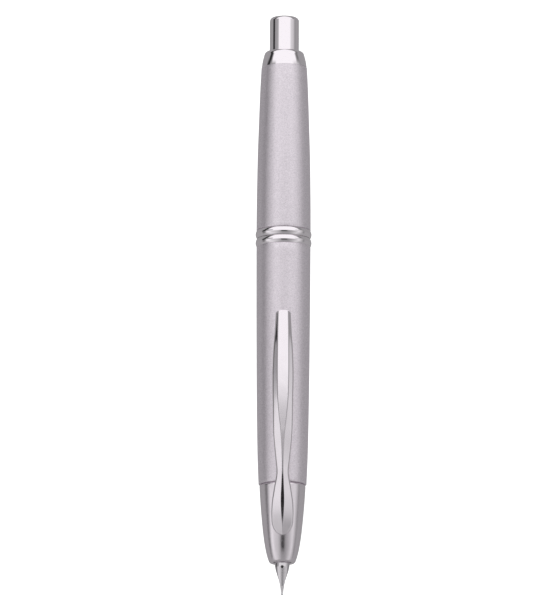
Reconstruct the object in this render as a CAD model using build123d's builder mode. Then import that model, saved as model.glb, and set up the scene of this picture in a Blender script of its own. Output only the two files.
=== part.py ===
from build123d import *

# Retractable fountain pen: a lacquered barrel in two halves, a chrome nose that carries the clip,
# and a nib unit that a latching push button drives through a shutter in the nose.
#
# The pen lies along X, nib towards -X, push button towards +X, clip up (+Z), resting on its trim rings.
# A place along the pen is its distance behind the rim of the nose, so the nib tip is at a negative place.
# A radius is measured from the pen's axis. The pen is modelled in its writing state: button latched
# down, nib out, shutter flap open.

import os
from math import cos, radians, sin

os.makedirs("parts", exist_ok=True)

# ---- driving dimensions, mm and degrees ----
NIB_OUT = 7.8
NOSE_END = 18.7
PART_LINE = 77.7
RING_WIDTH = 2.0
REAR_BARREL_END = 118.9
COLLAR_END = 122.8
BUTTON_END = 131.1
RING_R = 6.6
FIXED_GAP = 0.02
RUNNING_GAP = 0.07

# ---- seats and bores that neighbours share ----
MOUTH_R = 2.15
SPIGOT_R = 4.95
SPIGOT_END = 25.0
SLEEVE_SEAT_R = 5.55
SLEEVE_BORE_R = 4.45
THREAD_R = 5.2
THREAD_PITCH = 0.85
THREAD_TURNS = 7
THREAD_END = 85.0
INSERT_R = 5.73
INSERT_END = 90.9
HOUSING_END = 18.6
HINGE_AT = 11.0
HINGE_DROP = 2.95
PIN_R = 0.3
FLAP_FRONT = 1.4
FLAP_HALF_WIDTH = 1.75
GUIDE_BORE_R = 2.27
SPRING_FRONT = 14.05
FLANGE_AT = 19.4
NIB_R = 1.88
NIB_SHELL = 0.3
NIB_TIP_R = 1.5
SNOUT_R = GUIDE_BORE_R - RUNNING_GAP
SNOUT_FRONT = 8.2
KEY_WIDTH = 1.6
KEY_R = 4.75
CASE_R = 3.95
TAIL_R = 1.22
TUBE_R = 3.33
TUBE_BORE_R = 2.9
NECK_R = 2.48
KNOB_R = 3.6
KNOB_END = 88.0
FLUTES = 20
ROD_R = 0.9
BEAD_R = 0.6
FIN_R = 4.35
FIN_REAR = 96.0
SECTORS = 3
RIB_ARC = 35.0
RIB_FRONT = 98.4
FIN_ARC = 20.0
FIN_START = 19.5
FIN_LENGTH = 3.0
CAM_R = 4.95
CAM_BORE_R = 4.45
CAM_HUB_R = 3.67
CAM_FRONT = 92.0
CAM_END = 114.8
STEM_R = 1.4
BUTTON_R = 3.45
BUTTON_BORE_R = 2.87
BUTTON_FRONT = 101.05
CLIP_HINGE_AT = 7.4
CLIP_HINGE_R = 4.45

# ---- the pen's axis and its working planes ----
MIDDLE = (BUTTON_END - NIB_OUT) / 2
PROFILE = Plane(origin=(-MIDDLE, 0, RING_R), x_dir=(1, 0, 0), z_dir=(0, -1, 0))
PEN_AXIS = Axis((-MIDDLE, 0, RING_R), (1, 0, 0))


def across(place, height=0.0):
    """A plane square to the pen at a place: x is the pen's +Y, y is up, and it faces the button."""
    return Plane(origin=(place - MIDDLE, 0, RING_R + height), x_dir=(0, 1, 0), z_dir=(1, 0, 0))


def above(height=0.0):
    """A plane level with the table at a height over the pen's axis: x is the place along the pen."""
    return Plane(origin=(-MIDDLE, 0, RING_R + height), x_dir=(1, 0, 0), z_dir=(0, 0, 1))


def turned(*outline):
    """A turned piece from its straight (place, radius) corners."""
    with BuildPart() as piece:
        with BuildSketch(PROFILE):
            with BuildLine():
                Polyline(*outline, close=True)
            make_face()
        revolve(axis=PEN_AXIS)
    return piece


def tube(start, end, outer, inner):
    """A plain tube."""
    return turned((start, inner), (start, outer), (end, outer), (end, inner))


def trim_ring(start, end, inner):
    """A half-round chrome ring that stands a little proud of the barrel."""
    edge = RING_R - 0.35
    with BuildPart() as ring:
        with BuildSketch(PROFILE):
            with BuildLine():
                Polyline((start, edge), (start, inner), (end, inner), (end, edge))
                ThreePointArc((end, edge), ((start + end) / 2, RING_R), (start, edge))
            make_face()
        revolve(axis=PEN_AXIS)
    return ring


def sector(radius, inner, middle, arc):
    """A face across the pen between two radii, centred on an angle from the top of the pen."""
    first, last = radians(middle - arc / 2), radians(middle + arc / 2)
    half = radians(middle)
    with BuildSketch(Plane.XY) as face:
        with BuildLine():
            Line((inner * sin(first), inner * cos(first)), (radius * sin(first), radius * cos(first)))
            ThreePointArc(
                (radius * sin(first), radius * cos(first)),
                (radius * sin(half), radius * cos(half)),
                (radius * sin(last), radius * cos(last)),
            )
            Line((radius * sin(last), radius * cos(last)), (inner * sin(last), inner * cos(last)))
            ThreePointArc(
                (inner * sin(last), inner * cos(last)),
                (inner * sin(half), inner * cos(half)),
                (inner * sin(first), inner * cos(first)),
            )
        make_face()
    return face.sketch


def save(piece, label):
    """Names a finished piece and writes its STEP file."""
    piece.part.label = label
    export_step(piece.part, f"parts/{label}.step")


# ---- nose: a chrome shell with a rounded mouth and a pocket for the clip's foot ----
with BuildPart() as nose_cone:
    with BuildSketch(PROFILE):
        with BuildLine():
            ThreePointArc((0.3, MOUTH_R), (0.05, 2.45), (0.1, 2.85))
            ThreePointArc((0.1, 2.85), (2.2, 3.7), (5.9, 4.36))
            ThreePointArc((5.9, 4.36), (12.0, 5.0), (NOSE_END, 5.45))
            Polyline(
                (NOSE_END, 5.45), (NOSE_END, SPIGOT_R), (SPIGOT_END, SPIGOT_R), (SPIGOT_END, 4.5),
                (NOSE_END, 4.5), (12.0, 4.15), (6.0, 3.62), (3.0, 3.3), (1.4, 3.0), (1.1, MOUTH_R),
                (0.3, MOUTH_R),
            )
        make_face()
    revolve(axis=PEN_AXIS)
    with BuildSketch(above(3.92)):
        with Locations((CLIP_HINGE_AT, 0)):
            Rectangle(1.5, 1.9)
    extrude(amount=2.0, mode=Mode.SUBTRACT)
save(nose_cone, "nose_cone")

# ---- shutter housing: steers the nib unit, carries the flap's pin and seats the return spring ----
with BuildPart() as shutter_housing:
    with BuildSketch(PROFILE):
        with BuildLine():
            Polyline(
                (9.4, 2.6), (9.4, 3.88), (12.0, 4.12), (HOUSING_END, 4.46), (HOUSING_END, 3.9),
                (14.0, 3.9), (14.0, GUIDE_BORE_R), (12.0, GUIDE_BORE_R), (12.0, 2.6), close=True,
            )
        make_face()
    revolve(axis=PEN_AXIS)
    with BuildSketch(above(-1.2)):
        with Locations((10.65, 0)):
            Rectangle(2.6, 4.3)
    extrude(amount=-2.4, mode=Mode.SUBTRACT)
    with BuildSketch(PROFILE):
        with Locations((HINGE_AT, -HINGE_DROP)):
            Circle(PIN_R + FIXED_GAP / 2)
    extrude(amount=2.55, both=True, mode=Mode.SUBTRACT)
save(shutter_housing, "shutter_housing")

with BuildPart() as shutter_pin:
    with BuildSketch(PROFILE):
        with Locations((HINGE_AT, -HINGE_DROP)):
            Circle(PIN_R)
    extrude(amount=2.5, both=True)
save(shutter_pin, "shutter_pin")

# ---- shutter flap: a rounded plate on a knuckle that turns on the pin ----
with BuildPart() as shutter_flap:
    with BuildSketch(above(-2.4)):
        with Locations((FLAP_FRONT + FLAP_HALF_WIDTH, 0)):
            Circle(FLAP_HALF_WIDTH)
        with Locations((FLAP_FRONT + FLAP_HALF_WIDTH, 0)):
            Rectangle(7.15, 2 * FLAP_HALF_WIDTH, align=(Align.MIN, Align.CENTER))
            Rectangle(HINGE_AT - FLAP_FRONT - FLAP_HALF_WIDTH, 2.0, align=(Align.MIN, Align.CENTER))
    extrude(amount=-0.2)
    with BuildSketch(PROFILE):
        with Locations((HINGE_AT, -HINGE_DROP)):
            Circle(0.52)
    extrude(amount=1.0, both=True)
    with BuildSketch(PROFILE):
        with Locations((HINGE_AT, -HINGE_DROP)):
            Circle(PIN_R + FIXED_GAP * 2)
    extrude(amount=2.0, both=True, mode=Mode.SUBTRACT)
save(shutter_flap, "shutter_flap")

# ---- flap spring: a small coil on the pin that holds the flap towards the nib unit ----
with BuildPart() as shutter_spring:
    with BuildLine() as coil:
        Helix(0.24, 0.72, 0.47, center=(HINGE_AT - MIDDLE, 1.15, RING_R - HINGE_DROP), direction=(0, 1, 0))
    with BuildSketch(Plane(origin=coil.line @ 0, z_dir=coil.line % 0)):
        Circle(0.09)
    sweep(is_frenet=True)
save(shutter_spring, "shutter_spring")

# ---- front barrel: lacquered brass, swelling from the nose to the trim rings ----
with BuildPart() as front_barrel:
    with BuildSketch(PROFILE):
        with BuildLine():
            Line((NOSE_END + 0.03, SPIGOT_R + FIXED_GAP), (NOSE_END + 0.03, 5.52))
            ThreePointArc((NOSE_END + 0.03, 5.52), (NOSE_END + 0.06, 5.6), (NOSE_END + 0.14, 5.64))
            Spline(
                (NOSE_END + 0.14, 5.64), (27.6, 5.96), (46.4, 6.22), (PART_LINE - RING_WIDTH, 6.37),
                tangents=((1, 0.05), (1, 0.002)),
            )
            Polyline(
                (PART_LINE - RING_WIDTH, 6.37), (PART_LINE - RING_WIDTH, SLEEVE_SEAT_R + FIXED_GAP),
                (48.0, SLEEVE_SEAT_R + FIXED_GAP), (48.0, SPIGOT_R + FIXED_GAP),
                (NOSE_END + 0.03, SPIGOT_R + FIXED_GAP),
            )
        make_face()
    revolve(axis=PEN_AXIS)
save(front_barrel, "front_barrel")

# ---- inner sleeve: brass liner with the keyway for the nib unit and the screw that joins the halves ----
with BuildPart() as inner_sleeve:
    with BuildSketch(PROFILE):
        with BuildLine():
            Polyline(
                (SPIGOT_END + 0.1, SLEEVE_BORE_R), (SPIGOT_END + 0.1, SPIGOT_R), (48.1, SPIGOT_R),
                (48.1, SLEEVE_SEAT_R), (PART_LINE - 0.1, SLEEVE_SEAT_R), (PART_LINE - 0.1, THREAD_R),
                (THREAD_END, THREAD_R), (THREAD_END, SLEEVE_BORE_R), close=True,
            )
        make_face()
        for turn in range(THREAD_TURNS):
            with Locations((PART_LINE + 1.4 + THREAD_PITCH * turn, THREAD_R)):
                Rectangle(0.45, 0.5, mode=Mode.SUBTRACT)
    revolve(axis=PEN_AXIS)
    with BuildSketch(across(SPIGOT_END, SLEEVE_BORE_R)):
        Rectangle(KEY_WIDTH + 0.2, 0.8)
    extrude(amount=THREAD_END - SPIGOT_END + 1.0, mode=Mode.SUBTRACT)
save(inner_sleeve, "inner_sleeve")

front_ring = trim_ring(PART_LINE - RING_WIDTH + FIXED_GAP, PART_LINE - 0.03, SLEEVE_SEAT_R + FIXED_GAP)
save(front_ring, "front_ring")

# ---- return spring: pushes the nib unit back from the shutter housing ----
SPRING_WIRE_R = 0.22
SPRING_LENGTH = FLANGE_AT - SPRING_FRONT - 2 * SPRING_WIRE_R - 0.1
with BuildPart() as return_spring:
    with BuildLine() as coil:
        Helix(
            pitch=SPRING_LENGTH / 8, height=SPRING_LENGTH, radius=3.1,
            center=(SPRING_FRONT + SPRING_WIRE_R + 0.05 - MIDDLE, 0, RING_R), direction=(1, 0, 0),
        )
    with BuildSketch(Plane(origin=coil.line @ 0, z_dir=coil.line % 0)):
        Circle(SPRING_WIRE_R)
    sweep(is_frenet=True)
save(return_spring, "return_spring")

# ---- clip: a drop-shaped foot on the nose, a narrow waist, and a broad arm with one flat facet ----
CLIP_STATIONS = (
    # place, half width, half width of the facet, top, shoulder, underside
    (6.0, 0.7, 0.10, 4.75, 4.62, 4.2),
    (7.6, 1.95, 0.12, 5.30, 4.75, 4.2),
    (11.1, 2.52, 0.14, 6.15, 5.00, 4.4),
    (16.0, 2.15, 0.16, 7.05, 6.00, 5.4),
    (20.8, 1.50, 0.20, 7.70, 6.95, 6.4),
    (30.5, 2.28, 0.65, 8.35, 7.65, 7.1),
    (43.0, 2.48, 1.22, 8.55, 7.95, 7.4),
    (52.0, 2.12, 1.20, 8.35, 7.80, 7.1),
    (58.6, 1.74, 1.18, 7.85, 7.45, 6.65),
    (59.0, 1.55, 1.05, 7.80, 7.42, 6.70),
    (59.2, 1.20, 0.90, 7.70, 7.38, 6.80),
)
with BuildPart() as clip:
    for place, half, facet, top, shoulder, under in CLIP_STATIONS:
        with BuildSketch(across(place)):
            with BuildLine():
                Polyline(
                    (-half, under), (half, under), (half, shoulder), (facet, top), (-facet, top),
                    (-half, shoulder), close=True,
                )
            make_face()
    loft(ruled=True)
    with BuildSketch(PROFILE):
        with BuildLine():
            Polyline((5.0, 0), (5.0, 4.34), (7.0, 4.64))
            ThreePointArc((7.0, 4.64), (12.0, 5.14), (NOSE_END, 5.6))
            Polyline((NOSE_END, 5.6), (NOSE_END, 0), (5.0, 0))
        make_face()
    revolve(axis=PEN_AXIS, mode=Mode.SUBTRACT)
    with BuildSketch(PROFILE):
        with Locations((CLIP_HINGE_AT, CLIP_HINGE_R)):
            Circle(0.42)
    extrude(amount=0.75, both=True)
save(clip, "clip")

# ---- nib: a thin curved blade with shoulders, a breather hole and a slit ----
with BuildPart() as nib:
    with BuildSketch(PROFILE):
        with BuildLine():
            Polyline(
                (-NIB_OUT, NIB_TIP_R), (-1.0, NIB_R), (11.9, NIB_R), (11.9, NIB_R - NIB_SHELL),
                (-1.0, NIB_R - NIB_SHELL), (-NIB_OUT, NIB_TIP_R - NIB_SHELL), close=True,
            )
        make_face()
    revolve(axis=PEN_AXIS)
    with BuildSketch(above(0.35)):
        with BuildLine():
            Line((12.5, -1.84), (0.0, -1.84))
            Spline((0.0, -1.84), (-2.8, -1.26), (-5.7, -0.48), (0.56 - NIB_OUT, -0.26))
            Line((0.56 - NIB_OUT, -0.26), (0.56 - NIB_OUT, 0.26))
            Spline((0.56 - NIB_OUT, 0.26), (-5.7, 0.48), (-2.8, 1.26), (0.0, 1.84))
            Polyline((0.0, 1.84), (12.5, 1.84), (12.5, -1.84))
        make_face()
    extrude(amount=2.0, mode=Mode.INTERSECT)
    with BuildSketch(above(0.5)):
        with Locations((-1.1, 0)):
            Circle(0.42)
        with Locations((-1.1 - NIB_OUT / 2, 0)):
            Rectangle(NIB_OUT, 0.05)
    extrude(amount=2.0, mode=Mode.SUBTRACT)
save(nib, "nib")

with BuildPart() as nib_point:
    with BuildSketch(PROFILE):
        with BuildLine():
            ThreePointArc((-NIB_OUT, 1.28), (0.27 - NIB_OUT, 1.56), (0.54 - NIB_OUT, 1.28))
            ThreePointArc((0.54 - NIB_OUT, 1.28), (0.27 - NIB_OUT, 1.0), (-NIB_OUT, 1.28))
        make_face()
    extrude(amount=0.3, both=True)
save(nib_point, "nib_point")

# ---- feed: a ribbed ink feed under the nib, with a tail that pierces the converter's seat ----
with BuildPart() as feed:
    with BuildSketch(PROFILE):
        with BuildLine():
            Polyline(
                (-5.6, 0.9), (-4.4, 1.2), (-1.0, 1.5), (11.9, 1.5), (11.9, TAIL_R), (27.0, TAIL_R),
                (27.8, 0.6), (27.8, -0.6), (27.0, -TAIL_R), (11.9, -TAIL_R), (11.9, -1.5), (2.4, -1.5),
                (-1.6, -0.78), (-4.2, 0.0), close=True,
            )
        make_face()
    extrude(amount=1.5, both=True)
    with BuildSketch(PROFILE):
        with BuildLine():
            Polyline((-6.0, 0), (-6.0, 1.15), (-1.0, 1.54), (28.0, 1.54), (28.0, 0), close=True)
        make_face()
    revolve(axis=PEN_AXIS, mode=Mode.INTERSECT)
    with BuildSketch(across(11.92)):
        Circle(3.0)
        Circle(TAIL_R + FIXED_GAP, mode=Mode.SUBTRACT)
    extrude(amount=17.0, mode=Mode.SUBTRACT)
    for groove in range(9):
        with BuildSketch(above(-0.35)):
            with Locations((-1.4 + 0.85 * groove, 0)):
                Rectangle(0.32, 4.0)
        extrude(amount=-1.5, mode=Mode.SUBTRACT)
save(feed, "feed")

# ---- nib holder: the metal case of the nib unit, with its spring flange and its key ----
with BuildPart() as nib_holder:
    with BuildSketch(PROFILE):
        with BuildLine():
            Polyline(
                (SNOUT_FRONT, NIB_R + FIXED_GAP), (SNOUT_FRONT, SNOUT_R - 0.15),
                (SNOUT_FRONT + 0.3, SNOUT_R), (FLANGE_AT, SNOUT_R), (FLANGE_AT, 4.2), (21.2, 4.2),
                (21.2, CASE_R), (33.0, CASE_R), (33.0, TUBE_R + FIXED_GAP), (24.0, TUBE_R + FIXED_GAP),
                (24.0, TAIL_R + FIXED_GAP), (12.0, TAIL_R + FIXED_GAP), (12.0, NIB_R + FIXED_GAP),
                close=True,
            )
        make_face()
    revolve(axis=PEN_AXIS)
    with BuildSketch(across(28.0)):
        with Locations((0, CASE_R - 0.1)):
            Rectangle(KEY_WIDTH, KEY_R - CASE_R + 0.1, align=(Align.CENTER, Align.MIN))
    extrude(amount=4.0)
save(nib_holder, "nib_holder")

# ---- converter: a screw-driven piston pump that stores the ink ----
converter_tube = tube(25.0, 66.0, TUBE_R, TUBE_BORE_R)
save(converter_tube, "converter_tube")

converter_seat = tube(25.0, 29.0, TUBE_BORE_R - FIXED_GAP, TAIL_R + FIXED_GAP)
save(converter_seat, "converter_seat")

converter_collar = turned(
    (62.0, TUBE_R + FIXED_GAP), (62.0, 3.75), (76.0, 3.75), (76.0, NECK_R + RUNNING_GAP),
    (66.1, NECK_R + RUNNING_GAP), (66.1, TUBE_R + FIXED_GAP),
)
save(converter_collar, "converter_collar")

with BuildPart() as converter_knob:
    with BuildSketch(PROFILE):
        with BuildLine():
            Polyline(
                (67.0, ROD_R + 0.1), (67.0, NECK_R), (76.2, NECK_R), (76.2, KNOB_R),
                (KNOB_END - 0.4, KNOB_R), (KNOB_END, 3.2), (KNOB_END, 0), (KNOB_END - 1.5, 0),
                (KNOB_END - 1.5, ROD_R + 0.1), close=True,
            )
        make_face()
    revolve(axis=PEN_AXIS)
    with BuildSketch(across(77.4)):
        with PolarLocations(KNOB_R, FLUTES):
            Rectangle(0.36, 0.36)
    extrude(amount=8.6, mode=Mode.SUBTRACT)
save(converter_knob, "converter_knob")

piston_rod = tube(55.0, 76.5, ROD_R, 0.3)
save(piston_rod, "piston_rod")

LIP_R = TUBE_BORE_R - 0.06
piston_seal = turned(
    (53.0, 0), (53.0, LIP_R), (53.9, LIP_R), (54.2, 2.4), (56.4, 2.4), (56.7, LIP_R), (57.6, LIP_R),
    (57.6, ROD_R + 0.01), (54.98, ROD_R + 0.01), (54.98, 0),
)
save(piston_seal, "piston_seal")

# ---- agitator beads: three loose steel balls that keep the ink moving in the tube ----
BEAD_HEIGHT = RING_R - TUBE_BORE_R + BEAD_R + 0.03
with BuildPart() as agitator_beads:
    with Locations([(place - MIDDLE, 0, BEAD_HEIGHT) for place in (31.0, 32.6, 34.6)]):
        Sphere(BEAD_R)
save(agitator_beads, "agitator_beads")

# ---- rear half ----
with BuildPart() as rear_barrel:
    with BuildSketch(PROFILE):
        with BuildLine():
            Polyline(
                (PART_LINE + RING_WIDTH, 6.39), (PART_LINE + RING_WIDTH, INSERT_R + FIXED_GAP),
                (91.0, INSERT_R + FIXED_GAP), (91.0, CAM_R + FIXED_GAP), (CAM_END + 0.1, CAM_R + FIXED_GAP),
                (CAM_END + 0.1, 4.6), (REAR_BARREL_END, 4.6), (REAR_BARREL_END, 5.36),
            )
            Spline(
                (REAR_BARREL_END, 5.36), (111.4, 5.72), (98.4, 6.15), (PART_LINE + RING_WIDTH, 6.39),
                tangents=((-1, 0.045), (-1, 0.004)),
            )
        make_face()
    revolve(axis=PEN_AXIS)
save(rear_barrel, "rear_barrel")

rear_ring = trim_ring(PART_LINE + 0.03, PART_LINE + RING_WIDTH - FIXED_GAP, INSERT_R + FIXED_GAP)
save(rear_ring, "rear_ring")

with BuildPart() as rear_insert:
    with BuildSketch(PROFILE):
        with BuildLine():
            Polyline(
                (PART_LINE + 0.05, THREAD_R + RUNNING_GAP), (PART_LINE + 0.05, INSERT_R),
                (INSERT_END, INSERT_R), (INSERT_END, THREAD_R + RUNNING_GAP), close=True,
            )
        make_face()
        for turn in range(THREAD_TURNS):
            with Locations((PART_LINE + 1.4 + THREAD_PITCH * turn, THREAD_R + RUNNING_GAP)):
                Rectangle(0.45, 0.36, mode=Mode.SUBTRACT)
    revolve(axis=PEN_AXIS)
save(rear_insert, "rear_insert")

with BuildPart() as rear_collar:
    with BuildSketch(PROFILE):
        with BuildLine():
            Polyline(
                (REAR_BARREL_END + 0.03, 5.3), (REAR_BARREL_END + 0.03, 4.58), (115.0, 4.58),
                (115.0, BUTTON_R + RUNNING_GAP), (COLLAR_END, BUTTON_R + RUNNING_GAP), (COLLAR_END, 3.95),
            )
            ThreePointArc((COLLAR_END, 3.95), (122.55, 4.42), (121.9, 4.72))
            ThreePointArc((121.9, 4.72), (120.6, 5.06), (REAR_BARREL_END + 0.03, 5.3))
        make_face()
    revolve(axis=PEN_AXIS)
save(rear_collar, "rear_collar")

# ---- cam sleeve: three ribs leave the channels that the rotor's fins and the plunger's guides run in ----
with BuildPart() as cam_sleeve:
    with BuildSketch(across(CAM_FRONT)):
        Circle(CAM_R)
        Circle(CAM_BORE_R, mode=Mode.SUBTRACT)
    extrude(amount=CAM_END - CAM_FRONT)
    with BuildSketch(across(RIB_FRONT)):
        for index in range(SECTORS):
            add(sector(CAM_BORE_R + 0.2, 3.75, index * 360 / SECTORS, RIB_ARC))
    extrude(amount=CAM_END - RIB_FRONT)
save(cam_sleeve, "cam_sleeve")

# ---- rotor: the part that turns and latches ----
with BuildPart() as rotor:
    with BuildSketch(PROFILE):
        with BuildLine():
            Polyline(
                (KNOB_END + 0.15, 0), (KNOB_END + 0.15, 2.9), (92.8, 2.9), (92.8, CAM_HUB_R),
                (96.5, CAM_HUB_R), (96.5, STEM_R), (103.0, STEM_R), (103.0, 0), close=True,
            )
        make_face()
    revolve(axis=PEN_AXIS)
    with BuildSketch(across(FIN_REAR - FIN_LENGTH)):
        for index in range(SECTORS):
            add(sector(FIN_R, 3.4, FIN_START + index * 360 / SECTORS, FIN_ARC))
    extrude(amount=FIN_LENGTH)
save(rotor, "rotor")

# ---- plunger: its guides slide in the sleeve's channels and its end pushes the rotor ----
with BuildPart() as cam_plunger:
    with BuildSketch(PROFILE):
        with BuildLine():
            Polyline(
                (96.65, STEM_R + RUNNING_GAP), (96.65, CAM_HUB_R), (101.0, CAM_HUB_R),
                (101.0, BUTTON_BORE_R - FIXED_GAP), (111.0, BUTTON_BORE_R - FIXED_GAP),
                (111.0, STEM_R + RUNNING_GAP), close=True,
            )
        make_face()
    revolve(axis=PEN_AXIS)
    with BuildSketch(across(97.4)):
        for index in range(SECTORS):
            add(sector(FIN_R, 3.4, (index + 0.5) * 360 / SECTORS, FIN_ARC))
    extrude(amount=3.4)
save(cam_plunger, "cam_plunger")

# ---- push button: a chrome cup over the plunger, with a flat end and a round edge ----
with BuildPart() as knock_button:
    with BuildSketch(PROFILE):
        with BuildLine():
            Polyline(
                (BUTTON_END, 0), (129.4, 0), (129.4, BUTTON_BORE_R), (BUTTON_FRONT, BUTTON_BORE_R),
                (BUTTON_FRONT, BUTTON_R), (BUTTON_END - 0.95, BUTTON_R),
            )
            ThreePointArc((BUTTON_END - 0.95, BUTTON_R), (BUTTON_END - 0.3, 3.18), (BUTTON_END, 2.5))
            Line((BUTTON_END, 2.5), (BUTTON_END, 0))
        make_face()
    revolve(axis=PEN_AXIS)
save(knock_button, "knock_button")
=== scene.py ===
from math import asin, atan2, cos, degrees, hypot, pi, radians, sin, sqrt

import bmesh
import bpy
from mathutils import Matrix, Vector


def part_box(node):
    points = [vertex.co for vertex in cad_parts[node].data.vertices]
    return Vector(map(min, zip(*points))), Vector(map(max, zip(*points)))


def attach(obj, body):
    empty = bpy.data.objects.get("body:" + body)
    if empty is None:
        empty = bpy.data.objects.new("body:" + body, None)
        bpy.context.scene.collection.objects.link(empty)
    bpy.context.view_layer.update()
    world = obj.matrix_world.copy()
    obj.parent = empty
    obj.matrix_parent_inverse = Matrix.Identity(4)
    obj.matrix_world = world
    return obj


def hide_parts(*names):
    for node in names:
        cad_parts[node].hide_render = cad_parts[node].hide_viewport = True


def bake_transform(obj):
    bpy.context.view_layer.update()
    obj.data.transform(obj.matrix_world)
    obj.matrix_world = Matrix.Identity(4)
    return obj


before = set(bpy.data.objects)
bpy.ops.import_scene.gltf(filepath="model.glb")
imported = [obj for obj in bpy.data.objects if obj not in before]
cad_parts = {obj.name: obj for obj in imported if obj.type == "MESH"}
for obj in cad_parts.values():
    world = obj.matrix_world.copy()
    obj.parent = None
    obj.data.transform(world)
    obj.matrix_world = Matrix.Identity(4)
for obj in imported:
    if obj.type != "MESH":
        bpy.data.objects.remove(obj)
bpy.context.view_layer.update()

MM = 0.001
SAME_POINT = 1e-9  # metres
# In degrees: a corner of an outline that turns more is rounded off, and an edge that turns more looks sharp.
SHARP_TURN, SHADED_TURN = 25, 32
FINE, MEDIUM = 192, 96  # segments round a turned piece: outside, and inside the pen
NOSE_LOW, NOSE_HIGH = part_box("nose_cone")
AXIS_Z = (NOSE_LOW[2] + NOSE_HIGH[2]) / 2
BUTTON_END_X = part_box("knock_button")[1][0]
NIB_OUT, NOSE_END, PART_LINE, RING_WIDTH = 7.8, 18.7, 77.7, 2.0
REAR_BARREL_END, COLLAR_END, BUTTON_END = 118.9, 122.8, 131.1
RIM_X = BUTTON_END_X - BUTTON_END * MM
RING_R, THREAD_PITCH, GAP = 6.6, 0.85, 0.03
SPRING_FRONT, FLANGE_AT = 14.05, 19.4


# ---- places ----
def at(place, radius=0.0, angle=0.0):
    """The point, in metres, at a place, a radius and an angle in degrees."""
    turn = radians(angle)
    return Vector((RIM_X + place * MM, radius * sin(turn) * MM, AXIS_Z + radius * cos(turn) * MM))


def spot(place, side, height):
    """The point, in metres, at a place, a distance to +Y and a height over the axis."""
    return Vector((RIM_X + place * MM, side * MM, AXIS_Z + height * MM))


# ---- outlines in (place, radius) ----
def arc(first, through, last, steps=12):
    """Points on the circle through three points, without the last one."""
    (ax, ay), (bx, by), (cx, cy) = first, through, last
    cross = 2 * (ax * (by - cy) + bx * (cy - ay) + cx * (ay - by))
    a2, b2, c2 = ax * ax + ay * ay, bx * bx + by * by, cx * cx + cy * cy
    ox = (a2 * (by - cy) + b2 * (cy - ay) + c2 * (ay - by)) / cross
    oy = (a2 * (cx - bx) + b2 * (ax - cx) + c2 * (bx - ax)) / cross
    start, end = atan2(ay - oy, ax - ox), atan2(cy - oy, cx - ox)
    if cross > 0 and end < start:
        end += 2 * pi
    if cross < 0 and end > start:
        end -= 2 * pi
    reach = hypot(ax - ox, ay - oy)
    turns = [start + (end - start) * step / steps for step in range(steps)]
    return [(ox + reach * cos(turn), oy + reach * sin(turn)) for turn in turns]


def smooth(points, steps=8):
    """A smooth line through its points, without the last one."""
    line = []
    padded = [points[0]] + list(points) + [points[-1]]
    for before, start, end, after in zip(padded, padded[1:], padded[2:], padded[3:]):
        for step in range(steps):
            values = zip(before, start, end, after)
            line.append(tuple(between(*value, step / steps) for value in values))
    return line


def between(before, start, end, after, share):
    """Catmull-Rom between two values."""
    return hermite(start, end, (end - before) / 2, (after - start) / 2, share)


def hermite(start, end, slope_in, slope_out, share):
    """A smooth value between two, with a slope at each."""
    s2, s3 = share * share, share ** 3
    return ((2 * s3 - 3 * s2 + 1) * start + (s3 - 2 * s2 + share) * slope_in
            + (3 * s2 - 2 * s3) * end + (s3 - s2) * slope_out)


def rounded_corner(before, corner, after, radius, most, steps):
    """A small curve in place of a corner, at most a share of each side long."""
    (px, py), (x, y), (nx, ny) = before, corner, after
    side_in, side_out = hypot(x - px, y - py), hypot(nx - x, ny - y)
    cut = min(radius, most * side_in, most * side_out)
    start = (x - (x - px) / side_in * cut, y - (y - py) / side_in * cut)
    end = (x + (nx - x) / side_out * cut, y + (ny - y) / side_out * cut)
    points = []
    for step in range(steps + 1):
        share = step / steps
        a, b, c = (1 - share) ** 2, 2 * share * (1 - share), share ** 2
        points.append((a * start[0] + b * x + c * end[0], a * start[1] + b * y + c * end[1]))
    return points


def soften(outline, radius=0.06, steps=3):
    """Rounds off the sharp corners of a closed outline, but not those on the axis."""
    rounded = []
    for index, corner in enumerate(outline):
        before, after = outline[index - 1], outline[(index + 1) % len(outline)]
        in_x, in_y = corner[0] - before[0], corner[1] - before[1]
        out_x, out_y = after[0] - corner[0], after[1] - corner[1]
        turn = degrees(abs(atan2(in_x * out_y - in_y * out_x, in_x * out_x + in_y * out_y)))
        if turn < SHARP_TURN or corner[1] < 1e-6:
            rounded.append(corner)
        else:
            rounded += rounded_corner(before, corner, after, radius, 0.4, steps)
    return rounded


def along(stations, place):
    """A smooth value at a place from (place, value) stations, with no overshoot."""
    last = len(stations) - 1
    if place <= stations[0][0]:
        return stations[0][1]
    if place >= stations[-1][0]:
        return stations[-1][1]
    index = next(number for number in range(last) if place <= stations[number + 1][0])
    (x0, y0), (x1, y1) = stations[index], stations[index + 1]

    def slope(number):
        if number in (0, last):
            return 0.0 if last < 2 else secant(min(number, last - 1))
        left, right = secant(number - 1), secant(number)
        return 0.0 if left * right <= 0 else 2 * left * right / (left + right)

    def secant(number):
        (xa, ya), (xb, yb) = stations[number], stations[number + 1]
        return (yb - ya) / (xb - xa)

    run = x1 - x0
    return hermite(y0, y1, run * slope(index), run * slope(index + 1), (place - x0) / run)


def circle(across, up, radius, count):
    """The corners of a round outline."""
    turns = [2 * pi * number / count for number in range(count)]
    return [(across + radius * cos(turn), up + radius * sin(turn)) for turn in turns]


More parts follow.
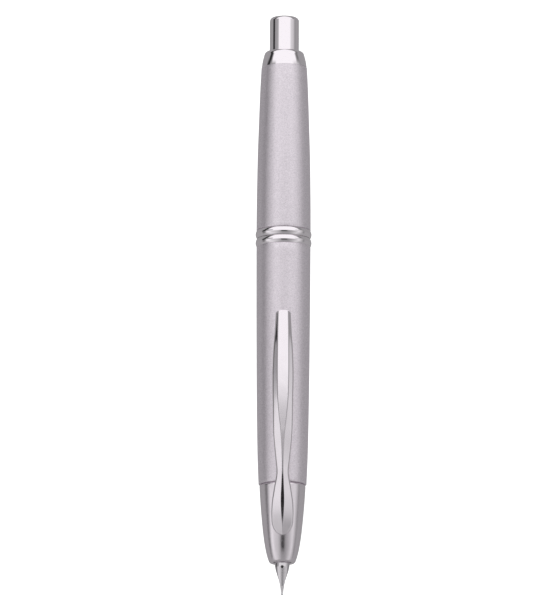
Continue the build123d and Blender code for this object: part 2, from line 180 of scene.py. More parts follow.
# ---- meshes ----
def from_rings(name, rings, closed=True, caps=False):
    """A mesh through rings of points; each ring is closed, and so is the row of rings if asked."""
    mesh = bpy.data.meshes.new(name)
    build = bmesh.new()
    rows = [[build.verts.new(point) for point in ring] for ring in rings]
    pairs = list(zip(rows, rows[1:]))
    if closed:
        pairs.append((rows[-1], rows[0]))
    for row, following in pairs:
        for index in range(len(row)):
            beside = (index + 1) % len(row)
            build.faces.new((row[index], row[beside], following[beside], following[index]))
    if caps:
        build.faces.new(rows[0][::-1])
        build.faces.new(rows[-1])
    bmesh.ops.remove_doubles(build, verts=build.verts, dist=SAME_POINT)
    bmesh.ops.recalc_face_normals(build, faces=build.faces)
    for edge in build.edges:
        edge.smooth = len(edge.link_faces) == 2 and edge.calc_face_angle(0.0) < radians(SHADED_TURN)
    for face in build.faces:
        face.smooth = True
    build.to_mesh(mesh)
    build.free()
    piece = bpy.data.objects.new(name, mesh)
    bpy.context.scene.collection.objects.link(piece)
    return piece


def lathe(name, outline, segments=144, radius=0.06, wobble=None):
    """A turned piece. wobble(place, radius, angle) may change the radius."""
    outline = soften(outline, radius)
    rings = []
    for place, distance in outline:
        ring = []
        for index in range(segments):
            angle = 360 * index / segments
            away = wobble(place, distance, angle) if wobble else distance
            ring.append(at(place, away, angle))
        rings.append(ring)
    return from_rings(name, rings)


def pipe(name, points, radius, sides=14):
    """A round wire through points in metres."""
    rings = []
    lift = Vector((0, 0, 1))
    for index, point in enumerate(points):
        ahead = points[min(index + 1, len(points) - 1)] - points[max(index - 1, 0)]
        ahead.normalize()
        side = ahead.cross(lift)
        if side.length < 0.1:
            side = ahead.cross(Vector((0, 1, 0)))
        side.normalize()
        lift = side.cross(ahead).normalized()
        turns = [2 * pi * number / sides for number in range(sides)]
        rings.append([point + radius * MM * (cos(turn) * side + sin(turn) * lift) for turn in turns])
    return from_rings(name, rings, closed=False, caps=True)


def bar(name, corners, ends, point):
    """A straight piece with the same outline at both ends. point(corner, end) says where a corner is."""
    rings = [[point(corner, end) for corner in corners] for end in ends]
    return from_rings(name, rings, closed=False, caps=True)


def level_bar(name, corners, start, end):
    """A bar along the pen, from (side, height) corners."""
    return bar(name, corners, (start, end), lambda corner, place: spot(place, *corner))


def upright_bar(name, corners, low, high):
    """A bar that stands up, from (place, side) corners."""
    return bar(name, corners, (low, high), lambda corner, height: spot(*corner, height))


def ball(name, place, height, radius, half_width, steps=16, sides=24):
    """A ball on the pen's middle plane, which may be wider or narrower than it is high."""
    rings = []
    for step in range(1, steps):
        turn = pi * step / steps
        behind, wide, high = place - radius * cos(turn), half_width * sin(turn), radius * sin(turn)
        rings.append([
            spot(behind, wide * across, height + high * up) for across, up in circle(0, 0, 1, sides)
        ])
    return from_rings(name, rings, closed=False, caps=True)


def screw(name, start, end, root, crest, pitch, bore, segments=72):
    """A tube with a rounded helical thread; the crest may be inside the root."""
    rows_a_turn, steepness = 10, 3.2
    rows = int((end - start) / pitch * rows_a_turn)
    skin, core = [], []
    for row in range(rows + 1):
        place = start + (end - start) * row / rows
        run_in = min(1.0, (place - start) / pitch, (end - place) / pitch)
        ring = []
        for index in range(segments):
            angle = 360 * index / segments
            phase = (place / pitch - angle / 360) % 1.0
            ridge = max(0.0, 1 - abs(phase - 0.5) * steepness) * run_in
            ring.append(at(place, root + (crest - root) * ridge, angle))
        skin.append(ring)
        core.append([at(place, bore, 360 * index / segments) for index in range(segments)])
    return from_rings(name, skin + core[::-1])


def cut_away(piece, cutter):
    """Cuts one mesh from another and deletes the cutter."""
    change = piece.modifiers.new("cut", "BOOLEAN")
    change.operation, change.object, change.solver = "DIFFERENCE", cutter, "EXACT"
    bpy.context.view_layer.update()
    graph = bpy.context.evaluated_depsgraph_get()
    shaped = bpy.data.meshes.new_from_object(piece.evaluated_get(graph))
    piece.modifiers.clear()
    piece.data = shaped
    bpy.data.objects.remove(cutter)


# ---- materials ----
class Paint:
    """A node material: a Principled surface whose sockets nodes can drive."""

    def __init__(self, name, color, rough, metal=0.0, **settings):
        self.material = bpy.data.materials.new(name)
        self.material.use_nodes = True
        self.nodes = self.material.node_tree.nodes
        self.links = self.material.node_tree.links
        self.surface = self.nodes["Principled BSDF"]
        self.surface.inputs["Base Color"].default_value = (*color, 1)
        self.surface.inputs["Roughness"].default_value = rough
        self.surface.inputs["Metallic"].default_value = metal
        for socket, value in settings.items():
            self.surface.inputs[socket.replace("_", " ")].default_value = value
        self.place = self.nodes.new("ShaderNodeTexCoord").outputs["Object"]

    def stretch(self, scale):
        node = self.nodes.new("ShaderNodeMapping")
        node.inputs["Scale"].default_value = scale
        self.links.new(self.place, node.inputs["Vector"])
        return node.outputs["Vector"]

    def noise(self, size, detail=3.0, stretch=(1, 1, 1)):
        """Noise whose grains are about size mm."""
        node = self.nodes.new("ShaderNodeTexNoise")
        node.inputs["Scale"].default_value = 1 / (size * MM)
        node.inputs["Detail"].default_value = detail
        self.links.new(self.stretch(stretch), node.inputs["Vector"])
        return node.outputs["Fac"]

    def cells(self, size, output="Color"):
        """Random values in cells of about size mm."""
        node = self.nodes.new("ShaderNodeTexVoronoi")
        node.inputs["Scale"].default_value = 1 / (size * MM)
        self.links.new(self.place, node.inputs["Vector"])
        return node.outputs[output]

    def mean(self, first, second):
        """Half of each of two values."""
        node = self.nodes.new("ShaderNodeMix")
        node.inputs["Factor"].default_value = 0.5
        self.links.new(first, node.inputs["A"])
        self.links.new(second, node.inputs["B"])
        return node.outputs["Result"]

    def span(self, value, low, high, from_low=0.3, from_high=0.7):
        """A value stretched to run from low to high."""
        node = self.nodes.new("ShaderNodeMapRange")
        limits = {"From Min": from_low, "From Max": from_high, "To Min": low, "To Max": high}
        for socket, number in limits.items():
            node.inputs[socket].default_value = number
        self.links.new(value, node.inputs["Value"])
        return node.outputs["Result"]

    def blend(self, value, first, second):
        """A colour between two, by a value from 0 to 1."""
        node = self.nodes.new("ShaderNodeMix")
        node.data_type = "RGBA"
        node.inputs["A"].default_value, node.inputs["B"].default_value = (*first, 1), (*second, 1)
        self.links.new(value, node.inputs["Factor"])
        return node.outputs["Result"]

    def drive(self, socket, value):
        self.links.new(value, self.surface.inputs[socket])

    def bump(self, value, strength, depth=0.01):
        """Relief up to depth mm from a value, on top of any before it."""
        node = self.nodes.new("ShaderNodeBump")
        node.inputs["Strength"].default_value = strength
        node.inputs["Distance"].default_value = depth * MM
        self.links.new(value, node.inputs["Height"])
        normal = self.surface.inputs["Normal"]
        if normal.links:
            self.links.new(normal.links[0].from_socket, node.inputs["Normal"])
        self.links.new(node.outputs["Normal"], normal)


def lacquer():
    """Silver metallic lacquer: fine flakes under a thin clear coat."""
    dull, bright = (0.7, 0.645, 0.7), (0.98, 0.915, 0.98)
    coat = {"Coat_Weight": 0.2, "Coat_Roughness": 0.2}
    paint = Paint("silver_lacquer", (0.84, 0.78, 0.84), 0.4, metal=0.88, **coat)
    flakes = paint.mean(paint.cells(0.14), paint.noise(0.35, 4.0))
    paint.drive("Base Color", paint.blend(paint.span(flakes, 0, 1, 0.2, 0.8), dull, bright))
    paint.drive("Roughness", paint.span(paint.noise(0.5), 0.36, 0.44))
    paint.bump(paint.cells(0.12, "Distance"), 0.22, 0.01)
    return paint.material


def chrome(name, color, rough):
    """Polished plate with faint wiping marks."""
    paint = Paint(name, color, rough, metal=1.0)
    paint.drive("Roughness", paint.span(paint.noise(1.6, 3.0), rough * 0.85, rough * 1.25))
    paint.bump(paint.noise(0.5, 2.0, stretch=(0.3, 1, 1)), 0.01, 0.004)
    return paint.material


def satin(name, color, rough=0.28, metal=1.0, grain=0.1, stretch=(0.1, 1, 1)):
    """Drawn or brushed metal with a grain."""
    paint = Paint(name, color, rough, metal=metal)
    lines = paint.noise(grain, 4.0, stretch=stretch)
    paint.drive("Roughness", paint.span(lines, rough * 0.75, rough * 1.3))
    darker = tuple(0.86 * part for part in color)
    paint.drive("Base Color", paint.blend(paint.span(lines, 0, 1), darker, color))
    paint.bump(lines, 0.08, 0.004)
    return paint.material


def moulded(name, color, rough=0.4, grain=0.08, **settings):
    """Moulded plastic or rubber with a fine skin."""
    paint = Paint(name, color, rough, **settings)
    skin = paint.noise(grain, 3.0)
    paint.drive("Roughness", paint.span(skin, rough * 0.85, rough * 1.2))
    lighter = tuple(min(1.0, 1.25 * part + 0.004) for part in color)
    paint.drive("Base Color", paint.blend(paint.span(paint.noise(1.2), 0, 1), color, lighter))
    paint.bump(skin, 0.15, 0.008)
    return paint.material


def clear_plastic():
    """Clear polystyrene with faint moulding streaks."""
    paint = Paint("clear_plastic", (0.96, 0.98, 0.98), 0.04, Transmission_Weight=1.0, IOR=1.5)
    paint.drive("Roughness", paint.span(paint.noise(1.0, 3.0, stretch=(0.2, 1, 1)), 0.02, 0.09))
    return paint.material


LACQUER = lacquer()
CHROME = chrome("polished_chrome", (0.9, 0.85, 0.895), 0.05)
NOSE_CHROME = chrome("nose_chrome", (0.86, 0.805, 0.855), 0.2)
CLIP_CHROME = chrome("clip_chrome", (0.86, 0.81, 0.855), 0.12)
RHODIUM = satin("rhodium_nib", (0.74, 0.71, 0.74), 0.15, grain=0.05)
TIPPING = satin("tipping_alloy", (0.6, 0.6, 0.63), 0.3, grain=0.03, stretch=(1, 1, 1))
SPRING_STEEL = satin("spring_steel", (0.55, 0.55, 0.56), 0.22, grain=0.05)
STAINLESS = satin("stainless_sheet", (0.52, 0.52, 0.53), 0.26)
NICKEL = satin("nickel_plate", (0.6, 0.59, 0.56), 0.2, grain=0.15)
BRASS = satin("machined_brass", (0.72, 0.52, 0.24), 0.25, grain=0.08, stretch=(1, 0.1, 0.1))
BLACK = moulded("black_plastic", (0.012, 0.012, 0.013), 0.34)
DARK_ACETAL = moulded("dark_acetal", (0.03, 0.03, 0.034), 0.45)
PALE_ACETAL = moulded("pale_acetal", (0.72, 0.71, 0.67), 0.42)
RUBBER = moulded("seal_rubber", (0.02, 0.02, 0.02), 0.6)
CLEAR = clear_plastic()


def finish_piece(piece, material, body, *nodes):
    """Paints a piece, fixes it to its body and lets it stand for its CAD nodes."""
    piece.data.materials.clear()
    piece.data.materials.append(material)
    if body:
        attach(piece, body)
    if nodes:
        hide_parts(*nodes)


# ---- stage, light and camera ----
def make_floor():
    """A plain pale floor with a pale dome over the pen.

    Both are one-sided, so neither comes between a camera and the pen, and they light nothing,
    so polished metal mirrors the studio.
    """
    floor_reach, dome_reach, dome_rows, columns = 5.0, 2.0, 16, 48
    dome_top = 88  # degrees up: a small round opening is left
    mesh = bpy.data.meshes.new("floor")
    build = bmesh.new()

    def hoop(rise, reach):
        points = circle(0, 0, reach * cos(rise), columns)
        return [build.verts.new((x, y, reach * sin(rise))) for x, y in points]

    hub, rim = build.verts.new((0, 0, 0)), hoop(0, floor_reach)
    dome = [hoop(radians(dome_top * row / (dome_rows - 1)), dome_reach) for row in range(dome_rows)]
    for index in range(columns):
        beside = (index + 1) % columns
        build.faces.new((hub, rim[index], rim[beside]))
        for lower, higher in zip(dome, dome[1:]):
            build.faces.new((lower[beside], lower[index], higher[index], higher[beside]))
    build.to_mesh(mesh)
    build.free()
    floor = bpy.data.objects.new("floor", mesh)
    bpy.context.scene.collection.objects.link(floor)
    material = bpy.data.materials.new("pale_floor")
    material.use_nodes = True
    nodes, links = material.node_tree.nodes, material.node_tree.links
    surface = nodes["Principled BSDF"]
    surface.inputs["Base Color"].default_value = (0.5, 0.5, 0.5, 1)
    surface.inputs["Roughness"].default_value = 0.9
    surface.inputs["Specular IOR Level"].default_value = 0.0
    surface.inputs["Emission Color"].default_value = (1, 1, 1, 1)
    surface.inputs["Emission Strength"].default_value = 1.0
    see_through = nodes.new("ShaderNodeMixShader")
    links.new(nodes.new("ShaderNodeNewGeometry").outputs["Backfacing"], see_through.inputs["Fac"])
    links.new(surface.outputs["BSDF"], see_through.inputs[1])
    links.new(nodes.new("ShaderNodeBsdfTransparent").outputs["BSDF"], see_through.inputs[2])
    links.new(see_through.outputs["Shader"], nodes["Material Output"].inputs["Surface"])
    mesh.materials.append(material)
    floor.visible_glossy = floor.visible_diffuse = floor.visible_shadow = False
    floor.visible_transmission = False


def make_studio():
    """Soft studio light as a sky over a grey table.

    Each ring of light runs round the pen: a white light overhead, paler sides and dark gaps between
    them. One ring follows the next along the pen, so a slope towards the nib mirrors the first ones
    and a slope towards the button the last ones.
    """
    world = bpy.data.worlds.new("studio")
    bpy.context.scene.world = world
    world.use_nodes = True
    nodes, links = world.node_tree.nodes, world.node_tree.links
    background = nodes["Background"]
    split = nodes.new("ShaderNodeSeparateXYZ")
    links.new(nodes.new("ShaderNodeTexCoord").outputs["Generated"], split.inputs["Vector"])

    def math(operation, first, second):
        node = nodes.new("ShaderNodeMath")
        node.operation = operation
        for socket, value in zip(node.inputs, (first, second)):
            if isinstance(value, (int, float)):
                socket.default_value = value
            else:
                links.new(value, socket)
        return node.outputs["Value"]

    heading = math("ARCTAN2", split.outputs["Y"], split.outputs["Z"])
    turn = math("ADD", math("DIVIDE", heading, 2 * pi), 0.5)

    def ring(*stops):
        """Light round the pen, from (degrees off straight up towards +Y, level) stops."""
        node = nodes.new("ShaderNodeValToRGB")
        line = node.color_ramp.elements
        while len(line) < len(stops):
            line.new(0.5)
        for element, (degrees_off, level) in zip(line, stops):
            element.position = 0.5 + degrees_off / 360
            element.color = (level, level, level, 1)
        links.new(turn, node.inputs["Fac"])
        return node.outputs["Color"]

    def fade(low, high, first, second):
        """From one light to another, between two angles in degrees along the pen."""
        share = nodes.new("ShaderNodeMapRange")
        share.interpolation_type = "SMOOTHSTEP"
        share.inputs["From Min"].default_value = sin(radians(low))
        share.inputs["From Max"].default_value = sin(radians(high))
        links.new(split.outputs["X"], share.inputs["Value"])
        mix = nodes.new("ShaderNodeMix")
        mix.data_type = "RGBA"
        links.new(share.outputs["Result"], mix.inputs["Factor"])
        links.new(first, mix.inputs["A"])
        links.new(second, mix.inputs["B"])
        return mix.outputs["Result"]

    table, lamp, gap = 0.345, 1.05, 0.03
    below = ring((-180, table), (180, table))
    front = ring(
        (-180, table), (-92, 0.38), (-78, 0.5), (-62, 0.7), (-48, 0.58), (-34, 0.44), (-22, 0.34),
        (4, 0.34), (14, 0.42), (28, 0.56), (45, 0.72), (62, 0.8), (76, 0.6), (88, 0.4), (100, 0.38),
        (180, table),
    )
    near = ring(
        (-180, table), (-100, 0.38), (-90, 0.25), (-82, 0.45), (-66, 0.8), (-54, 0.62), (-44, 0.48),
        (-32, 0.38), (-18, 0.3), (-12, 0.01), (7, 0.01), (12, 0.36), (28, 0.58), (50, 0.64),
        (62, 0.9), (74, 0.85), (82, 0.3), (92, 0.16), (102, 0.38), (180, table),
    )
    middle = ring(
        (-180, table), (-100, 0.38), (-90, 0.25), (-82, 0.5), (-66, 0.8), (-50, 0.7), (-30, 0.6),
        (-18, 0.42), (8, 0.42), (20, 0.7), (48, 0.92), (66, 0.9), (74, 0.7), (82, 0.3), (92, 0.16),
        (102, 0.38), (180, table),
    )
    over = ring(
        (-180, table), (-100, table), (-94, 0.3), (-88, 0.36), (-83, 0.5), (-74, 0.62), (-54, 0.74),
        (-45, lamp), (43, lamp), (48, 0.5), (56, 0.38), (78, 0.33), (82, gap), (98, gap),
        (102, table), (180, table),
    )
    far = ring(
        (-180, table), (-92, table), (-87, 0.2), (-78, 0.2), (-73, 0.4), (-66, lamp), (65, lamp),
        (72, 0.3), (77, gap), (90, gap), (95, table), (180, table),
    )
    sky = fade(-56, -42, below, front)
    sky = fade(-20, -13, sky, near)
    sky = fade(-2, 2, sky, middle)
    sky = fade(6, 10, sky, over)
    sky = fade(18, 30, sky, far)
    links.new(sky, background.inputs["Color"])
    background.inputs["Strength"].default_value = 1.0


def make_camera():
    """Seen from above through a long lens, from a little towards the nib end, with the button at the top."""
    distance, tilt, roll = 4.0, radians(11), radians(-0.25)
    frame_height_mm, lens_mm_a_metre = 36.0, 255.8
    ahead_mm, aside_mm = 1.78, 3.84  # where the camera looks, from the pen's middle
    camera_data = bpy.data.cameras.new("camera")
    camera_data.sensor_fit = "VERTICAL"
    camera_data.sensor_height = frame_height_mm
    camera_data.lens = lens_mm_a_metre * distance
    camera_data.clip_start, camera_data.clip_end = 0.05, 50
    camera = bpy.data.objects.new("camera", camera_data)
    bpy.context.scene.collection.objects.link(camera)
    aim = spot((BUTTON_END - NIB_OUT) / 2 + ahead_mm, aside_mm, 0.0)
    camera.location = aim + distance * Vector((-sin(tilt), 0, cos(tilt)))
    camera.rotation_mode = "XYZ"
    look = (aim - camera.location).normalized()
    up = Vector((cos(tilt), 0, sin(tilt)))
    side = look.cross(up)
    leaning = up * cos(roll) + side * sin(roll)
    across_view = look.cross(leaning)
    camera.rotation_euler = Matrix((across_view, leaning, -look)).transposed().to_euler()
    bpy.context.scene.camera = camera


make_floor()
make_studio()
make_camera()
bpy.context.scene.view_settings.view_transform = "Standard"


# ---- front half ----
def make_nose():
    outline = arc((0.3, 2.15), (0.05, 2.45), (0.1, 2.85), 10)
    outline += smooth([
        (0.1, 2.85), (0.6, 3.2), (2.2, 3.68), (4.0, 4.06), (5.9, 4.36), (8.5, 4.67), (12.0, 5.0),
        (15.3, 5.25), (NOSE_END - 0.15, 5.44),
    ])
    outline += [
        (NOSE_END, 5.2), (NOSE_END, 4.95), (25.0, 4.95), (25.0, 4.5), (NOSE_END, 4.5), (12.0, 4.15),
        (6.0, 3.62), (3.0, 3.3), (1.4, 3.0), (1.1, 2.15),
    ]
    finish_piece(lathe("nose_shell", outline, FINE), NOSE_CHROME, "front_half", "nose_cone")


def make_front_barrel():
    start, end = NOSE_END + GAP, PART_LINE - RING_WIDTH
    outline = [(start, 4.97)] + arc((start, 5.3), (start + 0.05, 5.56), (start + 0.2, 5.65), 5)
    outline += smooth([
        (start + 0.2, 5.65), (23.3, 5.83), (27.6, 5.96), (36.3, 6.11), (46.4, 6.22), (60.0, 6.31),
        (end, 6.37),
    ], 6)
    outline += [(end, 6.37), (end, 5.57), (48.0, 5.57), (48.0, 4.97)]
    finish_piece(lathe("front_barrel_body", outline, FINE, 0.03), LACQUER, "front_half", "front_barrel")


def make_ring(name, start, end, inner, body, node):
    """A half-round trim ring."""
    edge = 6.25
    crest = ((start + end) / 2, RING_R)
    outline = [(start, inner), (start, edge)] + arc((start, edge), crest, (end, edge), 14)
    outline += [(end, edge), (end, inner)]
    finish_piece(lathe(name, outline, FINE, 0.03), CHROME, body, node)


def make_sleeve():
    outline = [
        (25.1, 4.45), (25.1, 4.95), (48.1, 4.95), (48.1, 5.55), (PART_LINE - 0.1, 5.55),
        (PART_LINE - 0.1, 4.9), (PART_LINE + 1.0, 4.9), (PART_LINE + 1.0, 4.45),
    ]
    liner = lathe("inner_liner", outline, MEDIUM, 0.08)
    cut_key(liner, 24.0, PART_LINE + 2)
    finish_piece(liner, BRASS, "front_half", "inner_sleeve")
    thread = screw("joining_screw", PART_LINE - 0.1, 85.0, 4.95, 5.19, THREAD_PITCH, 4.46)
    cut_key(thread, PART_LINE - 1, 86.0)
    finish_piece(thread, BRASS, "front_half")


def cut_key(piece, start, end):
    """The keyway along the top of the sleeve."""
    half, low, high = 0.9, 4.0, 4.85
    corners = ((-half, low), (half, low), (half, high), (-half, high))
    cut_away(piece, level_bar("keyway", corners, start, end))


def coil(start, end, mean_radius, turns, steps=40):
    """Points of a compression spring along the pen."""
    points = []
    for step in range(int(turns * steps) + 1):
        share = step / (turns * steps)
        angle = 360 * turns * share
        points.append(at(start + (end - start) * share, mean_radius, angle))
    return points


def make_return_spring():
    wire, seat = 0.22, 0.27
    spring = pipe("return_coil", coil(SPRING_FRONT + seat, FLANGE_AT - seat, 3.1, 8), wire)
    finish_piece(spring, SPRING_STEEL, None, "return_spring")
    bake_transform(spring)


# ---- nib unit ----
NIB_HALF_WIDTH = [
    (-NIB_OUT + 0.5, 0.27), (-7.0, 0.3), (-5.7, 0.48), (-4.2, 0.82), (-2.8, 1.26), (-1.3, 1.66),
    (0.0, 1.83), (12.0, 1.84),
]


def nib_radius(place):
    """How far the nib's outer skin is from the axis: less towards the tip."""
    return 1.88 if place > -1.0 else 1.5 + (place + NIB_OUT) / (NIB_OUT - 1.0) * 0.38


def cut_slit(piece, end, half_width):
    """The slit from in front of the tip back to a place."""
    corners = ((-9, -half_width), (end, -half_width), (end, half_width), (-9, half_width))
    cut_away(piece, upright_bar("slit", corners, 0.5, 2.4))


def make_nib():
    """A curved blade, slit from its breather hole to its tip."""
    thickness, edge_drop, columns, hole_at, hole_radius = 0.3, 0.05, 29, -1.1, 0.34
    places = [-NIB_OUT + 0.56 + 0.1 * step for step in range(70)] + [0.0, 2.0, 4.0, 6.0, 8.0, 10.0, 11.9]
    rings = []
    for place in places:
        reach = nib_radius(place)
        widest = degrees(asin(min(0.999, along(NIB_HALF_WIDTH, place) / reach)))
        angles = [widest * (2 * index / (columns - 1) - 1) for index in range(columns)]
        skin = [at(place, reach - edge_drop * (abs(angle) / widest) ** 8, angle) for angle in angles]
        rings.append(skin + [at(place, reach - thickness, angle) for angle in angles[::-1]])
    blade = from_rings("nib_blade", rings, closed=False, caps=True)
    cut_away(blade, upright_bar("hole", circle(hole_at, 0, hole_radius, 40), 1.0, 2.4))
    cut_slit(blade, hole_at - 0.1, 0.025)
    finish_piece(blade, RHODIUM, "nib_unit", "nib")


def make_nib_point():
    radius = 0.27
    point = ball("nib_tipping", -NIB_OUT + radius, 1.28, radius, 0.28)
    cut_slit(point, -7, 0.02)
    finish_piece(point, TIPPING, "nib_unit", "nib_point")


def make_feed():
    """The feed's belly carries thin air fins; its flat top holds the nib."""
    front, back, radius, spacing = -5.5, 11.9, 1.5, 0.1
    belly = [(front, 0.75), (-4.2, 0.0), (-1.6, -0.78), (2.4, -radius), (back, -radius)]
    fin_front, fin_back, fin_pitch, fin_width, fin_depth = -2.2, 7.0, 0.8, 0.45, 0.22
    places = []
    place = front
    while place < back:
        places.append(place)
        place += spacing
    rings = []
    for place in places:
        top = min(1.15 + (place + 6.0) * 0.078, 1.53)
        low = along(belly, place)
        middle, half_height = (top + low) / 2, (top - low) / 2
        half_width = min(radius, half_height * 1.2 + 0.25, along(NIB_HALF_WIDTH, place) - 0.1)
        between_fins = fin_front < place < fin_back and place % fin_pitch > fin_width
        cut = fin_depth if between_fins else 0.0
        ring = []
        for up, across in circle(0, 0, 1, 32):
            side, height = half_width * across, middle + half_height * up
            limit = sqrt(max(0.01, top ** 2 - min(height, top) ** 2)) if height > 0 else radius
            side = max(-limit, min(limit, side))
            if up < 0.1:
                side *= 1 - cut
                height = middle + half_height * up * (1 - cut * 0.7)
            ring.append(spot(place, side, height))
        rings.append(ring)
    feed = from_rings("feed_fins", rings, closed=False, caps=True)
    finish_piece(feed, BLACK, "nib_unit", "feed")
    tail = lathe("feed_tail", [(back, 0), (back, 1.22), (27.0, 1.22), (27.8, 0.6), (27.8, 0)], 48)
    finish_piece(tail, BLACK, "nib_unit")


def make_holder():
    outline = [
        (8.2, 1.9), (8.2, 2.05), (8.5, 2.2), (FLANGE_AT, 2.2), (FLANGE_AT, 4.2), (21.2, 4.2),
        (21.2, 3.95), (24.0, 3.95), (24.15, 3.8), (24.6, 3.8), (24.75, 3.95), (33.0, 3.95),
        (33.0, 3.35), (24.0, 3.35), (24.0, 1.24), (12.0, 1.24), (12.0, 1.9),
    ]
    case = lathe("holder_case", outline, MEDIUM, 0.08)
    finish_piece(case, NICKEL, "nib_unit", "nib_holder")
    corners = ((-0.8, 3.8), (-0.8, 4.6), (-0.65, 4.75), (0.65, 4.75), (0.8, 4.6), (0.8, 3.8))
    key = level_bar("holder_key", corners, 28.0, 32.0)
    finish_piece(key, NICKEL, "nib_unit")


def make_converter():
    tube = lathe("ink_tube", [(25.0, 2.9), (25.0, 3.33), (66.0, 3.33), (66.0, 2.9)], MEDIUM)
    finish_piece(tube, CLEAR, "nib_unit", "converter_tube")
    seat = lathe("ink_seat", [(25.0, 1.24), (25.0, 2.88), (29.0, 2.88), (29.0, 1.24)], 64, 0.15)
    finish_piece(seat, RUBBER, "nib_unit", "converter_seat")
    outline = [
        (62.0, 3.35), (62.0, 3.75), (63.2, 3.75), (63.35, 3.65), (63.7, 3.65), (63.85, 3.75),
        (76.0, 3.75), (76.0, 2.55), (66.1, 2.55), (66.1, 3.35),
    ]
    finish_piece(lathe("ink_collar", outline, MEDIUM, 0.1), CHROME, "nib_unit", "converter_collar")

    flute_count, flute_depth, flute_start, flute_end = 20, 0.2, 77.2, 86.8

    def flutes(place, distance, angle):
        if distance <= 3.3 or not flute_start < place < flute_end:
            return distance
        return distance - max(0.0, cos(radians(angle * flute_count))) ** 3 * flute_depth

    outline = [(67.0, 1.0), (67.0, 2.48), (76.2, 2.48), (76.2, 3.6), (77.1, 3.6)]
    outline += [(77.3 + 9.4 * step / 8, 3.6) for step in range(9)]
    outline += [(86.9, 3.6), (87.6, 3.6), (88.0, 3.2), (88.0, 0), (86.5, 0), (86.5, 1.0)]
    knob = lathe("twist_knob", outline, 240, 0.1, flutes)
    finish_piece(knob, BLACK, "converter_knob", "converter_knob")
    rod = screw("drive_screw", 57.6, 76.5, 0.72, 0.9, 1.5, 0.3, segments=40)
    finish_piece(rod, BLACK, "piston", "piston_rod")
    outline = [(53.0, 0)] + arc((53.0, 2.6), (53.1, 2.84), (53.45, 2.84), 5)
    outline += [(53.9, 2.84), (54.2, 2.4), (56.4, 2.4), (56.7, 2.84), (57.6, 2.84), (57.6, 0)]
    finish_piece(lathe("ink_piston", outline, 72), RUBBER, "piston", "piston_seal")


def make_beads():
    """Three loose balls that rest on the tube's wall and stir the ink."""
    for number, place in enumerate((31.0, 32.6, 34.6), 1):
        bead = ball(f"ink_bead_{number}", place, -2.27, 0.6, 0.6)
        finish_piece(bead, SPRING_STEEL, "nib_unit", "agitator_beads")


# ---- clip ----
# Each list gives a size of the arm's section, in mm, at places along it. TOP, SHOULDER and UNDER
# are heights over the pen's axis.
CLIP_FRONT, CLIP_END = 6.0, 59.2
HALF_WIDTH = [
    (9.7, 2.56), (11.1, 2.62), (13.0, 2.56), (16.5, 2.1), (20.8, 1.47), (23.6, 1.7), (30.7, 2.28),
    (37.8, 2.42), (43.5, 2.5), (49.4, 2.33), (54.5, 1.98), (59.2, 1.74),
]
FACET = [
    (6.0, 0.02), (8.2, 0.08), (10.5, 0.26), (14.0, 0.4), (18.0, 0.26), (21.5, 0.15), (26.0, 0.18),
    (29.0, 0.3), (31.2, 0.46), (34.1, 0.78), (38.9, 1.14), (45.0, 1.24), (52.0, 1.2), (59.2, 1.08),
]
CREASE = [(6.0, 0.02), (22.0, 0.04), (27.0, 0.18), (34.0, 0.27), (59.2, 0.27)]
TOP = [
    (6.0, 4.72), (7.6, 5.3), (11.1, 6.13), (16.0, 7.03), (20.8, 7.66), (30.5, 8.31), (43.0, 8.53),
    (52.0, 8.33), (59.2, 7.76),
]
SHOULDER = [
    (6.0, 4.62), (7.6, 4.82), (11.1, 5.12), (16.0, 6.05), (20.8, 6.96), (30.5, 7.55), (43.0, 7.74),
    (52.0, 7.6), (59.2, 7.2),
]
UNDER = [
    (6.0, 4.2), (7.6, 4.2), (11.1, 4.4), (16.0, 5.42), (20.8, 6.4), (30.5, 7.0), (43.0, 7.2),
    (52.0, 6.98), (56.8, 6.62), (59.2, 6.7),
]
EDGE_RADII = (0.08, 0.06, 0.3, 0.05, 0.05, 0.05, 0.05, 0.3, 0.06, 0.08)


def clip_half_width(place):
    """Half the arm's width, with its front end rounded and the corners of its free end taken off."""
    round_from, corner = 9.7, 0.65
    half = along(HALF_WIDTH, place)
    if place < round_from:
        half *= sqrt(max(0.0, 1 - ((round_from - place) / (round_from - CLIP_FRONT)) ** 2))
    if place > CLIP_END - corner:
        half -= corner - sqrt(max(0.0, corner ** 2 - (place - CLIP_END + corner) ** 2))
    return max(half, 0.08)


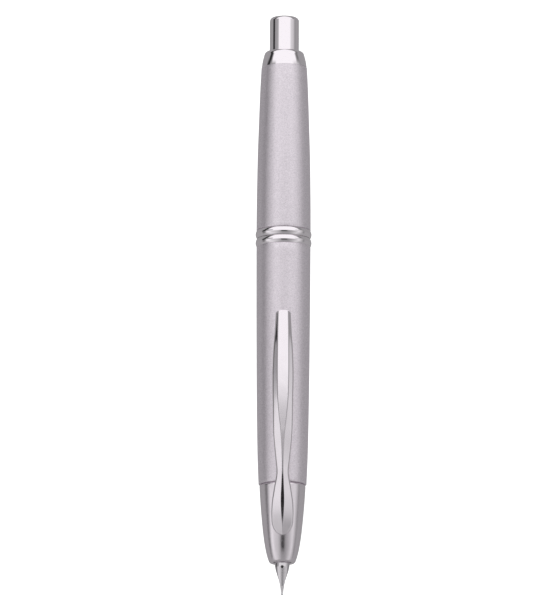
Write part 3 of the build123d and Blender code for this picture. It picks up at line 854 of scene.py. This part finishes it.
def make_clip():
    """A pressed spring-steel arm: a ridge at its foot opens into one long flat facet."""
    count, widest_chamfer, full_from = 150, 0.22, 0.6
    rings = []
    for step in range(count + 1):
        share = step / count
        eased = 0.5 - 0.5 * cos(pi * share)
        place = CLIP_FRONT + (CLIP_END - CLIP_FRONT) * (0.55 * share + 0.45 * eased)
        half = clip_half_width(place)
        facet = min(along(FACET, place), half * 0.7)
        top, shoulder, under, crease = (along(line, place) for line in (TOP, SHOULDER, UNDER, CREASE))
        squeeze = min(1.0, half / full_from)
        top = shoulder + (top - shoulder) * squeeze
        chamfer = widest_chamfer * squeeze
        right = [
            (half, under), (half, shoulder - 1.5 * chamfer), (half - chamfer, shoulder),
            (facet + crease * 0.7, top - crease * squeeze), (facet, top),
        ]
        section = [(-side, height) for side, height in right] + right[::-1]
        rings.append([spot(place, side, height) for side, height in round_section(section, EDGE_RADII)])
    arm = from_rings("clip_arm", rings, closed=False, caps=True)
    hollow = [(5.0, 0), (5.0, 4.34), (7.0, 4.64)] + arc((7.0, 4.64), (12.0, 5.14), (NOSE_END, 5.6), 16)
    cut_away(arm, lathe("clip_hollow", hollow + [(NOSE_END, 5.6), (NOSE_END, 0)], 144, 0.01))
    finish_piece(arm, CLIP_CHROME, "clip", "clip")
    foot = bar(
        "clip_foot", circle(7.4, 4.45, 0.42, 32), (-0.75, 0.75),
        lambda corner, side: spot(corner[0], side, corner[1]),
    )
    finish_piece(foot, CLIP_CHROME, "clip")


def round_section(corners, radii):
    """The same number of points on every section: each corner is a small curve."""
    points = []
    for index, corner in enumerate(corners):
        before, after = corners[index - 1], corners[(index + 1) % len(corners)]
        points += rounded_corner(before, corner, after, radii[index], 0.45, 5)
    return points


# ---- rear half ----
def make_rear_barrel():
    start, end = PART_LINE + RING_WIDTH, REAR_BARREL_END
    outline = [(end, 5.36), (end, 4.6), (114.9, 4.6), (114.9, 4.97), (91.0, 4.97), (91.0, 5.75)]
    outline += [(start, 5.75)]
    outline += smooth([
        (start, 6.39), (86.0, 6.35), (92.7, 6.26), (98.4, 6.15), (104.0, 5.97), (111.4, 5.72),
        (115.5, 5.55), (end, 5.36),
    ], 6)
    finish_piece(lathe("rear_barrel_body", outline, FINE, 0.03), LACQUER, "rear_half", "rear_barrel")


def make_rear_insert():
    bush = screw("thread_bush", PART_LINE + 0.05, 90.9, 5.5, 5.28, THREAD_PITCH, 5.73)
    finish_piece(bush, BRASS, "rear_half", "rear_insert")


def make_collar():
    start, shoulder = REAR_BARREL_END + GAP, (121.9, 4.72)
    outline = [(start, 5.3), (start, 4.58), (115.0, 4.58), (115.0, 3.52), (COLLAR_END, 3.52)]
    outline += arc((COLLAR_END, 3.95), (122.55, 4.42), shoulder, 10)
    outline += arc(shoulder, (120.6, 5.06), (start, 5.3), 10)
    finish_piece(lathe("end_collar", outline, FINE, 0.05), CHROME, "rear_half", "rear_collar")


def make_button():
    outline = [(129.4, 0), (129.4, 2.87), (101.05, 2.87), (101.05, 3.45)]
    outline += arc((BUTTON_END - 0.95, 3.45), (BUTTON_END - 0.3, 3.18), (BUTTON_END, 2.5), 12)
    outline += [(BUTTON_END, 2.5), (BUTTON_END, 0)]
    finish_piece(lathe("button_cap", outline, FINE), CHROME, "button", "knock_button")


def paint_cad():
    """The latch's inner pieces and the shutter keep their CAD shapes."""
    looks = {
        "shutter_housing": DARK_ACETAL,
        "shutter_pin": SPRING_STEEL,
        "shutter_flap": STAINLESS,
        "shutter_spring": SPRING_STEEL,
        "cam_sleeve": DARK_ACETAL,
        "rotor": PALE_ACETAL,
        "cam_plunger": DARK_ACETAL,
    }
    for node, material in looks.items():
        for slot in bpy.data.objects[node].material_slots:
            slot.material = material


make_nose()
make_front_barrel()
FRONT_RING_START, REAR_RING_END = PART_LINE - RING_WIDTH + 0.02, PART_LINE + RING_WIDTH - 0.02
make_ring("front_trim_ring", FRONT_RING_START, PART_LINE - GAP, 5.57, "front_half", "front_ring")
make_ring("rear_trim_ring", PART_LINE + GAP, REAR_RING_END, 5.75, "rear_half", "rear_ring")
make_sleeve()
make_return_spring()
make_nib()
make_nib_point()
make_feed()
make_holder()
make_converter()
make_beads()
make_clip()
make_rear_barrel()
make_rear_insert()
make_collar()
make_button()
paint_cad()
